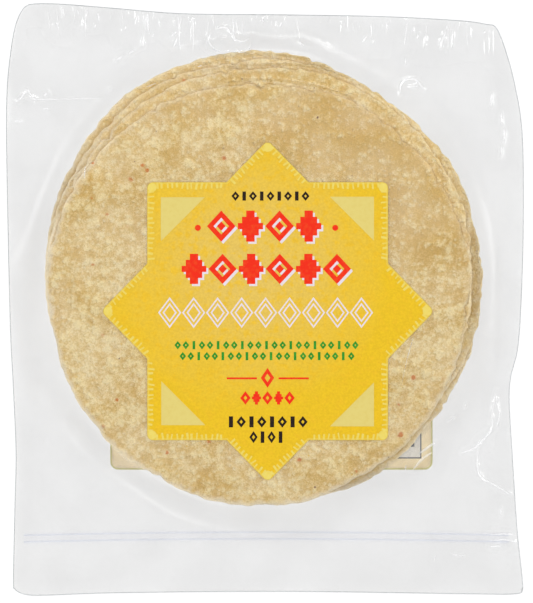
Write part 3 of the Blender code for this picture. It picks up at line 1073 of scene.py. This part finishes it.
# %% [markdown]
# The press zip is two ribs that snap into each other, on a tape between the films.
# It is extruded polythene, like the film, and faintly blue because it is thicker. From above
# only the ribs show, as two pale blue lines. Its section is drawn once and extruded along
# the bag in short steps, so that it can follow the slight bow that it has in the bag.

# %% The press zip
ZIP_Y = -99.3
ZIP_BOW = 1.3  # its middle lies this far above its ends
ZIP_ENDS = (-101.5, 102.5)
ZIP_APART = 2.75  # from rib to rib
ZIP_SEAT = 2.0  # height of its lower face
ZIP_STEPS = 68
RIB_WIDE = 0.85
RIB_HIGH = 0.7
TAPE_WIDE = 5.0
TAPE_THICK = 0.16


def zip_finish():
    plastic, place = new_material("zip_polythene")
    cloudy = add_node(plastic, "TexNoise", {"Vector": place, "Scale": every(9.0), "Detail": 2.0})
    inputs = {0: cloudy, UNDER: "#CFDBF0", OVER: "#E2EAF7"}
    blue = add_node(plastic, "Mix", inputs, data_type="RGBA").outputs[RESULT]
    rib = add_node(plastic, "Attribute", attribute_name="rib").outputs["Fac"]
    inputs = {0: rib, UNDER: "#FEFEFF", OVER: "#F5F7FD"}
    passing = add_node(plastic, "Mix", inputs, data_type="RGBA").outputs[RESULT]
    through = add_node(plastic, "BsdfTransparent", {"Color": passing})
    inputs = {"Base Color": blue, "Roughness": 0.35, "IOR": 1.5}
    solid = add_node(plastic, "BsdfPrincipled", inputs)
    body = add_node(plastic, "MapRange", {0: rib, 3: 0.0, 4: 0.10})
    whole = add_node(plastic, "MixShader", {0: body, 1: through, 2: solid})
    return finish_material(plastic, whole)


def zip_section():
    """The outline of tape and ribs in Y and Z, once round."""
    half, low = TAPE_WIDE / 2, ZIP_SEAT
    tape_top = low + TAPE_THICK
    points = [(-half, low), (half, low), (half, tape_top)]
    for middle in (ZIP_APART / 2, -ZIP_APART / 2):
        for side in range(5):
            lean = math.pi * side / 4
            points.append((middle + RIB_WIDE / 2 * math.cos(lean), tape_top + RIB_HIGH * math.sin(lean)))
    points.append((-half, tape_top))
    return points


def zip_shape():
    shape = bmesh.new()
    start, end = ZIP_ENDS
    section = [shape.verts.new((start * MM, (ZIP_Y + y) * MM, z * MM)) for y, z in zip_section()]
    drawn = bmesh.ops.extrude_face_region(shape, geom=[shape.faces.new(section)])["geom"]
    moved = [item for item in drawn if isinstance(item, bmesh.types.BMVert)]
    bmesh.ops.translate(shape, verts=moved, vec=((end - start) * MM, 0, 0))
    long_edges = [edge for edge in shape.edges if edge.calc_length() > (end - start) * MM / 2]
    bmesh.ops.subdivide_edges(shape, edges=long_edges, cuts=ZIP_STEPS, use_grid_fill=True)
    middle, half = (end + start) / 2, (end - start) / 2
    rib = shape.verts.layers.float.new("rib")
    for vert in shape.verts:
        vert[rib] = float(vert.co.z > (ZIP_SEAT + TAPE_THICK * 1.1) * MM)
        vert.co.y -= ZIP_BOW * ((vert.co.x / MM - middle) / half) ** 2 * MM
    bmesh.ops.recalc_face_normals(shape, faces=shape.faces)
    print("open edges left in the zip:", sum(edge.is_boundary for edge in shape.edges))
    return shape


add_piece("press_zip", zip_shape(), zip_finish(), ["zip_strip"])

# %% [markdown]
# The front label is an eight-pointed star of printed film, stuck on the bag.
# Its outline is a rectangle and a diamond laid over each other. Its sixteen corners are worked
# out from the half sizes of both. One face through them has its tips rounded by a bevel of its
# corners, and solidify gives it its thickness. Labels are drawn flat, in millimetres, and
# scaled to metres when they become pieces.

# %% The star label's outline
LABEL_CENTRE = (1.1, -4.9)
LABEL_WIDE, LABEL_TALL = 50.4, 54.0  # half sizes of the rectangle
TIP_WIDE, TIP_TALL = 69.8, 71.6  # half sizes of the diamond
LABEL_TIP_R = 2.4
LABEL_FOOT = 13.5  # height of its lower face
LABEL_THICK = 0.3
LABEL_TOP = LABEL_FOOT + LABEL_THICK
INK = 0.03  # how thick a print is


def star_corners():
    """Tip and notch in turn, anticlockwise from the right-hand tip."""
    notch_x = TIP_WIDE * (1 - LABEL_TALL / TIP_TALL)
    notch_y = TIP_TALL * (1 - LABEL_WIDE / TIP_WIDE)
    half = [(TIP_WIDE, 0), (LABEL_WIDE, notch_y), (LABEL_WIDE, LABEL_TALL), (notch_x, LABEL_TALL)]
    half += [(0, TIP_TALL), (-notch_x, LABEL_TALL), (-LABEL_WIDE, LABEL_TALL), (-LABEL_WIDE, notch_y)]
    middle = Vector((*LABEL_CENTRE, 0))
    return [middle + side * Vector((x, y, 0)) for side in (1, -1) for x, y in half]


def rounded_face(corners, rounded, radius):
    """A flat face through corners, with the chosen ones rounded, as a bmesh in millimetres."""
    shape = bmesh.new()
    verts = [shape.verts.new(corner) for corner in corners]
    shape.faces.new(verts)
    chosen = [verts[k] for k in rounded]
    bmesh.ops.bevel(
        shape, geom=chosen, offset=radius, segments=6, profile=0.5, affect="VERTICES", material=-1
    )
    return shape


def hollow(shape, faces, wide):
    """Leaves only a border of flat faces, this wide."""
    bmesh.ops.inset_individual(shape, faces=faces, thickness=wide, use_even_offset=True)
    bmesh.ops.delete(shape, geom=faces, context="FACES")


def star_face():
    return rounded_face(star_corners(), range(0, 16, 2), LABEL_TIP_R)


def add_plate(name, shape, foot, thick, material, slot, replaced=()):
    """Gives flat faces a thickness, stands them on the height foot, and adds them as a piece."""
    bmesh.ops.solidify(shape, geom=shape.faces[:], thickness=thick)
    low = min(vert.co.z for vert in shape.verts)
    bmesh.ops.translate(shape, verts=shape.verts, vec=(0, 0, foot - low))
    bmesh.ops.scale(shape, verts=shape.verts, vec=(MM, MM, MM))
    bmesh.ops.recalc_face_normals(shape, faces=shape.faces)
    add_piece(name, shape, material, replaced)


print("the star is", 2 * TIP_WIDE, "by", 2 * TIP_TALL, "mm")

# %% [markdown]
# The label is white film printed golden yellow, with a satin varnish.
# The yellow is not even. A painted soft reflection makes it paler and greyer towards the upper
# middle, and it is deep gold at the tips. It has soft blots of a stronger yellow all over, like the dough it
# wraps.
# The inks on it are one material each, made by one function: a colour with a slight mottle.

# %% Label finishes
GOLD = "#BB9914"
# painted reflection: the paler, greyer gold of a soft sheen round the upper middle
GOLD_PAINTED_SHEEN = "#B69A48"
GOLD_BLOT = "#BD9718"
# where the painted sheen is strongest, and how far out it gives way to deep gold
SHEEN_CENTRE = (-6.0, 14.0, LABEL_TOP)
SHEEN_REACH = (22.0, 74.0)
BLOT = 2.6
SATIN = 0.42
VARNISH = 0.12  # how strongly the varnish shines


def printed_film():
    film, place = new_material("printed_gold_film")
    # the gold goes from the painted sheen round the upper middle to deep gold further out
    inputs = {0: place, 1: Vector(SHEEN_CENTRE) * MM}
    away = add_node(film, "VectorMath", inputs, operation="DISTANCE").outputs["Value"]
    cloudy = add_node(film, "TexNoise", {"Vector": place, "Scale": every(16.0), "Detail": 2.0})
    spread = add_node(film, "Math", {0: cloudy, 1: 26.0 * MM, 2: away}, operation="MULTIPLY_ADD")
    near, far = (reach * MM for reach in SHEEN_REACH)
    deep = add_node(film, "MapRange", {0: spread, 1: near, 2: far})
    blots = add_node(film, "TexNoise", {"Vector": place, "Scale": every(BLOT), "Detail": 2.0})
    blotted = add_node(film, "MapRange", {0: blots, 1: 0.50, 2: 0.66, 3: 0.0, 4: 0.7})
    gold = GOLD_PAINTED_SHEEN
    for share, over in ((deep, GOLD), (blotted, GOLD_BLOT)):
        gold = add_node(film, "Mix", {0: share, UNDER: gold, OVER: over}, data_type="RGBA").outputs[RESULT]
    tooth = add_node(film, "TexNoise", {"Vector": place, "Scale": every(0.9), "Detail": 3.0})
    shade = add_node(film, "MapRange", {0: tooth, 1: 0.3, 2: 0.7, 3: 0.92, 4: 1.06})
    gold = add_node(film, "VectorMath", {0: gold, "Scale": shade}, operation="SCALE")
    bump = add_node(film, "Bump", {"Height": blots, "Distance": 0.25 * MM, "Strength": 0.5})
    inputs = {"Base Color": gold, "Roughness": SATIN, "Specular IOR Level": VARNISH, "Normal": bump}
    shader = add_node(film, "BsdfPrincipled", inputs)
    return finish_material(film, shader)


def satin_ink(name, colour, thin):
    """A printing ink that is a little thin in places."""
    ink, place = new_material(name)
    mottle = add_node(ink, "TexNoise", {"Vector": place, "Scale": every(1.6), "Detail": 3.0})
    share = add_node(ink, "MapRange", {0: mottle, 1: 0.45, 2: 0.75})
    shade = add_node(ink, "Mix", {0: share, UNDER: colour, OVER: thin}, data_type="RGBA").outputs[RESULT]
    inputs = {"Base Color": shade, "Roughness": SATIN, "Specular IOR Level": VARNISH}
    shader = add_node(ink, "BsdfPrincipled", inputs)
    return finish_material(ink, shader)


add_plate(
    "star_label_film", star_face(), LABEL_FOOT, LABEL_THICK, printed_film(), "yellow_label", ["star_label"]
)

# %% [markdown]
# The star has a stitched border: a thin pale band at the rim, with pale stitches that point
# inwards from it. The band is the star's face inset by its width, with the inner part removed.
# The stitches are small bars set along each of the sixteen sides, with a little chance in
# their length and lean, as if they had been drawn by hand. A pale triangle fills each corner.

# %% The stitched border and the corner triangles
BAND = 0.85
STITCH_APART = 2.12
STITCH_LONG = (1.5, 2.5)
STITCH_WIDE = (0.6, 1.0)
STITCH_LEAN = 0.22  # at most, in radians
STITCH_SHIFT = 0.15  # at most, as a share of the way to the next
TIP_SPOT = 1.9
TRIANGLE_LEG = 18.4
# each triangle's square corner in x and y, and which way its legs run from there
TRIANGLES = ((-43.6, 42.8, 1, -1), (45.6, 43.0, -1, -1), (-43.4, -52.6, 1, 1), (45.6, -53.1, -1, 1))


def lozenge(shape, x, y, wide, tall, sides=4, line=0.0):
    """A flat lozenge, or with more sides an ellipse. With a line, only an outline that wide."""
    made = bmesh.ops.create_circle(shape, cap_ends=True, segments=sides, radius=0.5)["verts"]
    bmesh.ops.scale(shape, verts=made, vec=(wide, tall, 1))
    bmesh.ops.translate(shape, verts=made, vec=(x, y, 0))
    if line:
        hollow(shape, made[0].link_faces[:], line)


def bar(shape, x, y, wide, tall, lean=0.0, z=0.0):
    made = bmesh.ops.create_grid(shape, x_segments=1, y_segments=1, size=0.5)["verts"]
    bmesh.ops.scale(shape, verts=made, vec=(wide, tall, 1))
    bmesh.ops.rotate(shape, verts=made, matrix=Matrix.Rotation(lean, 3, "Z"))
    bmesh.ops.translate(shape, verts=made, vec=(x, y, z))
    return made


def rim_band():
    shape = star_face()
    hollow(shape, shape.faces[:], BAND)
    return shape


def stitches():
    shape = bmesh.new()
    dice = random.Random(5)
    corners = star_corners()
    for start, end in zip(corners, corners[1:] + corners[:1]):
        run = end - start
        count = round(run.length / STITCH_APART)
        inward = Vector((-run.y, run.x, 0)).normalized()
        facing = math.atan2(run.y, run.x)
        for k in range(1, count):
            long = dice.uniform(*STITCH_LONG)
            middle = start + run * (k + dice.uniform(-STITCH_SHIFT, STITCH_SHIFT)) / count
            middle += inward * (BAND / 2 + long / 2)
            lean = facing + dice.uniform(-STITCH_LEAN, STITCH_LEAN)
            wide, high = dice.uniform(*STITCH_WIDE), dice.uniform(0, INK / 2)
            bar(shape, middle.x, middle.y, wide, long + BAND / 2, lean, high)
    return shape


def tip_spots():
    shape = bmesh.new()
    middle = Vector((*LABEL_CENTRE, 0))
    for tip in star_corners()[::2]:
        place = tip - (tip - middle).normalized() * (LABEL_TIP_R + 0.6)
        lozenge(shape, place.x, place.y, 2 * TIP_SPOT, 2 * TIP_SPOT, sides=14)
    return shape


def corner_triangles():
    shape = bmesh.new()
    for x, y, right, up in TRIANGLES:
        corners = ((x, y), (x + right * TRIANGLE_LEG, y), (x, y + up * TRIANGLE_LEG))
        shape.faces.new([shape.verts.new((*corner, 0)) for corner in corners])
    bmesh.ops.recalc_face_normals(shape, faces=shape.faces)
    return shape


pale_ink = satin_ink("pale_yellow_ink", "#BCAB54", "#BBA544")
band_ink = satin_ink("primrose_ink", "#BA9F3C", "#B8992C")
dull_ink = satin_ink("straw_yellow_ink", "#B4A55E", "#B2A158")
add_plate("label_rim_band", rim_band(), LABEL_TOP, INK, band_ink, "yellow_label")
add_plate("label_stitches", stitches(), LABEL_TOP, 2 * INK, pale_ink, "yellow_label")
add_plate("label_tip_spots", tip_spots(), LABEL_TOP, 3 * INK, pale_ink, "yellow_label")
add_plate("label_triangles", corner_triangles(), LABEL_TOP, INK, dull_ink, "yellow_label")

# %% [markdown]
# The middle of the label holds a plain woven-band pattern in rows.
# It is built from three motifs: a lozenge, a lozenge drawn as an outline, and a stepped
# lozenge made of stacked bars, as on handwoven cloth. Each ink is one piece, as each would be
# one pass of the press. The red row has a lilac copy under it, shifted to the lower right.

# %% The printed rows
SHADOW_SHIFT = (0.85, -0.9)
# every row: middle height, tallness, left, right, how many
RED_ROWS = ((30.7, 13.0, -24.4, 24.4, 4), (12.8, 12.6, -35.7, 36.1, 6))
RED_LAST_ROW = (-41.2, 5.6, -10.5, 12.6, 5)
LILAC_ROW = (-5.5, 13.0, -44.9, 45.4, 9)
LILAC_INNER_TALL = 8.2
LILAC_LINE = 0.62
GREEN_ROWS = ((-19.1, 3.5, -38.2, 39.5, 23), (-23.7, 3.5, -36.1, 37.8, 22))
DARK_ROWS = ((43.3, 3.8, -14.2, 18.8, 9), (-51.2, 4.6, -16.4, 18.0, 8), (-57.6, 4.8, -6.7, 8.4, 4))
RED_DOTS = ((-28.1, 30.0), (29.4, 30.0))  # x, y
DOT = 2.5
LONE_LOZENGE = (1.05, -32.8, 5.6, 8.2)  # x, y, width, tallness
DASHES = ((-9.7, -33.0), (12.0, -33.0))  # left and right of it: x, y
DASH_LONG, DASH_WIDE = 12.6, 0.75


def row_places(row):
    """For each place in a row: its number, x, y, width and tallness."""
    middle, tall, left, right, count = row
    wide = (right - left) / count
    return [(k, left + wide * (k + 0.5), middle, wide, tall) for k in range(count)]


def stepped(shape, x, y, wide, tall, levels=3):
    high = tall / (2 * levels - 1)
    for k in range(1 - levels, levels):
        bar(shape, x, y + k * high, wide * (levels - abs(k)) / levels, high)


def red_rows(shape, shift):
    right, up = shift
    for number, row in enumerate(RED_ROWS):
        for k, x, y, wide, tall in row_places(row):
            if (k + number) % 2:
                stepped(shape, x + right, y + up, wide * 0.86, tall)
            else:
                lozenge(shape, x + right, y + up, wide * 0.98, tall, line=2.0)
                lozenge(shape, x + right, y + up, wide * 0.30, tall * 0.30)


def red_print():
    shape = bmesh.new()
    red_rows(shape, (0, 0))
    for x, y in RED_DOTS:
        lozenge(shape, x, y, DOT, DOT, sides=16)
    lozenge(shape, *LONE_LOZENGE, line=1.3)
    for x, y in DASHES:
        bar(shape, x, y, DASH_LONG, DASH_WIDE)
    for k, x, y, wide, tall in row_places(RED_LAST_ROW):
        if k % 2:
            stepped(shape, x, y, wide * 0.82, tall - 0.1)
        else:
            lozenge(shape, x, y, wide * 0.94, tall, line=1.1)
    return shape


def lilac_print():
    shape = bmesh.new()
    red_rows(shape, SHADOW_SHIFT)
    for _, x, y, wide, tall in row_places(LILAC_ROW):
        lozenge(shape, x, y, wide * 0.97, tall, line=LILAC_LINE)
        lozenge(shape, x, y, wide * 0.60, LILAC_INNER_TALL, line=LILAC_LINE)
    return shape


def green_print():
    shape = bmesh.new()
    for row in GREEN_ROWS:
        for k, x, y, wide, tall in row_places(row):
            if k % 3 == 2:
                bar(shape, x, y, wide * 0.32, tall - 0.1)
            else:
                lozenge(shape, x, y, wide * 0.82, tall, line=0.78)
    return shape


def dark_print():
    shape = bmesh.new()
    for number, row in enumerate(DARK_ROWS):
        for k, x, y, wide, tall in row_places(row):
            if (k + number) % 2:
                bar(shape, x, y, wide * 0.40, tall)
            else:
                lozenge(shape, x, y, wide * 0.92, tall * 1.05, line=wide * 0.23)
    return shape


lilac_ink = satin_ink("lilac_white_ink", "#B9B1B9", "#B7ADA6")
red_ink = satin_ink("warm_red_ink", "#C01E04", "#C0360E")
green_ink = satin_ink("leaf_green_ink", "#0E6E1E", "#358024")
dark_ink = satin_ink("near_black_ink", "#140A05", "#24140A")
add_plate("label_lilac", lilac_print(), LABEL_TOP, INK, lilac_ink, "yellow_label")
add_plate("label_red", red_print(), LABEL_TOP, 2 * INK, red_ink, "yellow_label")
add_plate("label_green", green_print(), LABEL_TOP, INK, green_ink, "yellow_label")
add_plate("label_dark", dark_print(), LABEL_TOP, INK, dark_ink, "yellow_label")

# %% [markdown]
# The back label is a rounded square of cream paper under the bag.
# From the front only its two lower corners show, through both films. A thin border runs round
# it, and it has a pale panel with a dark outline and rows of plain bars. The print is made on
# both sides, because it shows through the film as well.

# %% The back label
BACK_CORNER_R = 3.4
BACK_BORDER = 0.7
PANEL_X = (14.0, 65.9)
PANEL_Y = (-67.0, 30.0)
PANEL_LINE = 0.55
PANEL_ROWS = 17
PANEL_BAR = 1.5
NOTE_X = (-59.0, 8.0)
NOTE_ROWS = 9


def rectangle(shape, x_range, y_range, line=0.0):
    """A flat rectangle, or with a line its outline, which lies inside it."""
    (left, right), (low, high) = x_range, y_range
    made = bar(shape, (left + right) / 2, (low + high) / 2, right - left, high - low)
    if line:
        hollow(shape, made[0].link_faces[:], line)


def back_face():
    left, right, low, high = *BACK_X, *BACK_Y
    corners = [(left, low, 0), (right, low, 0), (right, high, 0), (left, high, 0)]
    return rounded_face(corners, range(4), BACK_CORNER_R)


def back_border():
    shape = back_face()
    hollow(shape, shape.faces[:], BACK_BORDER)
    return shape


def panel_ground():
    shape = bmesh.new()
    rectangle(shape, PANEL_X, PANEL_Y)
    return shape


def back_bars():
    """The panel's outline, with rows of bars in it and beside it."""
    shape = bmesh.new()
    rectangle(shape, PANEL_X, PANEL_Y, PANEL_LINE)
    dice = random.Random(12)
    left, right = PANEL_X[0] + 3, PANEL_X[1] - 3
    for y in np.linspace(PANEL_Y[0] + 5, PANEL_Y[1] - 8, PANEL_ROWS):
        split = dice.uniform(0.35, 0.7) * (right - left)
        rectangle(shape, (left, left + split), (y, y + PANEL_BAR))
        rectangle(shape, (right - dice.uniform(3, 8), right), (y, y + PANEL_BAR))
    for y in np.linspace(BACK_Y[0] + 9, BACK_Y[1] - 12, NOTE_ROWS):
        end = NOTE_X[1] - dice.uniform(0, 22)
        rectangle(shape, (NOTE_X[0], end), (y, y + PANEL_BAR))
    return shape


def label_paper():
    paper, place = new_material("cream_label_paper")
    fibre = add_node(paper, "TexNoise", {"Vector": place, "Scale": every(1.2), "Detail": 4.0})
    cloudy = add_node(paper, "TexNoise", {"Vector": place, "Scale": every(14.0), "Detail": 2.0})
    share = add_node(paper, "MapRange", {0: cloudy, 1: 0.3, 2: 0.7})
    inputs = {0: share, UNDER: "#FBEBC4", OVER: "#F8E6BC"}
    cream = add_node(paper, "Mix", inputs, data_type="RGBA").outputs[RESULT]
    bump = add_node(paper, "Bump", {"Height": fibre, "Distance": 0.05 * MM, "Strength": 0.4})
    inputs = {"Base Color": cream, "Roughness": 0.7, "Normal": bump}
    shader = add_node(paper, "BsdfPrincipled", inputs)
    return finish_material(paper, shader)


border_ink = satin_ink("lime_border_ink", "#E6E29A", "#E8DE9C")
panel_ink = satin_ink("pale_grey_ink", "#E4E2DC", "#DEDBD3")
grey_ink = satin_ink("slate_grey_ink", "#5A5D63", "#6A6C70")
body = (INK, BACK_THICK - 2 * INK)
add_plate("back_paper", back_face(), *body, label_paper(), "cream_label", ["back_label"])
for side, foot in (("under", 0.0), ("over", BACK_THICK - INK)):
    add_plate(f"back_border_{side}", back_border(), foot, INK, border_ink, "cream_label")
    panel_foot = foot + (INK / 2 if side == "under" else 0)
    add_plate(f"back_panel_{side}", panel_ground(), panel_foot, INK / 2, panel_ink, "cream_label")
    add_plate(f"back_bars_{side}", back_bars(), foot, INK, grey_ink, "cream_label")

# %% [markdown]
# The floor, the lamps and the camera.
# The pack lies on a white light table, as for a catalogue picture. The table's own glow makes
# the ground pure white, with no shadow on it, and shines up through the clear film. From
# above, the light comes from a white tent that is brightest overhead, so shadows are faint.
# Four narrow lamps stand round it: left, right, beyond the bag's top edge and to the lower
# left. Creases of every direction find one to mirror. The camera hangs straight above and
# looks down through a long lens, which keeps the rims and the labels free of perspective.

# %% Floor, lamps and camera
FRAME_TALL = 253.3  # how much of the table the picture spans upwards, in millimetres
VIEW_CENTRE = (0.63, -0.84)
LENS = 300.0
SENSOR = 36.0
MIDDLE_HIGH = 6.0
TABLE_REACH = 3.0  # in metres
TABLE_GAP = 0.02  # the table lies this little below the pack, in millimetres
TABLE_GLOW = 0.86
SKY_SIDES = 0.95
SKY_TOP = 1.42
SKY_FROM = 0.5  # where the sky starts to brighten: 0 is level and 1 straight up


def table_finish():
    table, place = new_material("opal_light_table")
    tooth = add_node(table, "TexNoise", {"Vector": place, "Scale": every(2.0), "Detail": 2.0})
    bump = add_node(table, "Bump", {"Height": tooth, "Distance": 0.01 * MM, "Strength": 0.2})
    inputs = {"Base Color": "#606060", "Roughness": 0.9, "Normal": bump}
    inputs |= {"Emission Color": "#FFFFFF", "Emission Strength": TABLE_GLOW}
    shader = add_node(table, "BsdfPrincipled", inputs)
    return finish_material(table, shader)


def add_floor():
    shape = bmesh.new()
    bmesh.ops.create_circle(shape, cap_ends=True, segments=64, radius=TABLE_REACH)
    bmesh.ops.translate(shape, verts=shape.verts, vec=(0, 0, -TABLE_GAP * MM))
    add_object("table_top", to_mesh("table_top", shape, table_finish()))


def add_lamp(name, place, wide, tall, power):
    """A soft rectangular lamp that looks at the pack."""
    light = bpy.data.lights.new(name, "AREA")
    light.shape = "RECTANGLE"
    light.size = wide
    light.size_y = tall
    light.energy = power
    lamp = add_object(name, light)
    lamp.location = place
    lamp.rotation_euler = (-Vector(place)).to_track_quat("-Z", "Y").to_euler()


def add_sky():
    """A white sky that grows brighter towards the top, like the inside of a light tent."""
    sky = bpy.data.worlds.new("light_tent")
    sky.use_nodes = True
    sky.node_tree.nodes.clear()
    height = add_node(sky, "SeparateXYZ", {0: add_node(sky, "TexCoord").outputs[OBJECT]}).outputs["Z"]
    inputs = {0: height, 1: SKY_FROM, 2: 1.0, 3: SKY_SIDES, 4: SKY_TOP}
    strength = add_node(sky, "MapRange", inputs, interpolation_type="SMOOTHSTEP")
    glow = add_node(sky, "Background", {"Color": "#FFFFFF", "Strength": strength})
    add_node(sky, "OutputWorld", {"Surface": glow})
    bpy.context.scene.world = sky


def add_camera():
    lens = bpy.data.cameras.new("overhead")
    lens.lens = LENS
    lens.sensor_width = SENSOR
    lens.clip_start = 0.05
    lens.clip_end = 20
    camera = add_object("overhead", lens)
    height = FRAME_TALL * LENS / SENSOR + MIDDLE_HIGH
    camera.location = Vector((*VIEW_CENTRE, height)) * MM
    bpy.context.scene.camera = camera
    print("the camera hangs", round(height), "mm over the table")


add_floor()
add_lamp("lamp_left", (-0.80, 0.30, 0.85), 0.22, 0.60, 3.5)
add_lamp("lamp_right", (0.90, 0.15, 0.75), 0.20, 0.60, 3.6)
add_lamp("lamp_top", (0.15, 0.90, 0.85), 0.60, 0.20, 3.0)
add_lamp("lamp_bottom", (-0.45, -0.85, 0.75), 0.50, 0.25, 3.0)
add_sky()
add_camera()
bpy.context.scene.view_settings.view_transform = "Standard"
bpy.context.scene.view_settings.look = "None"
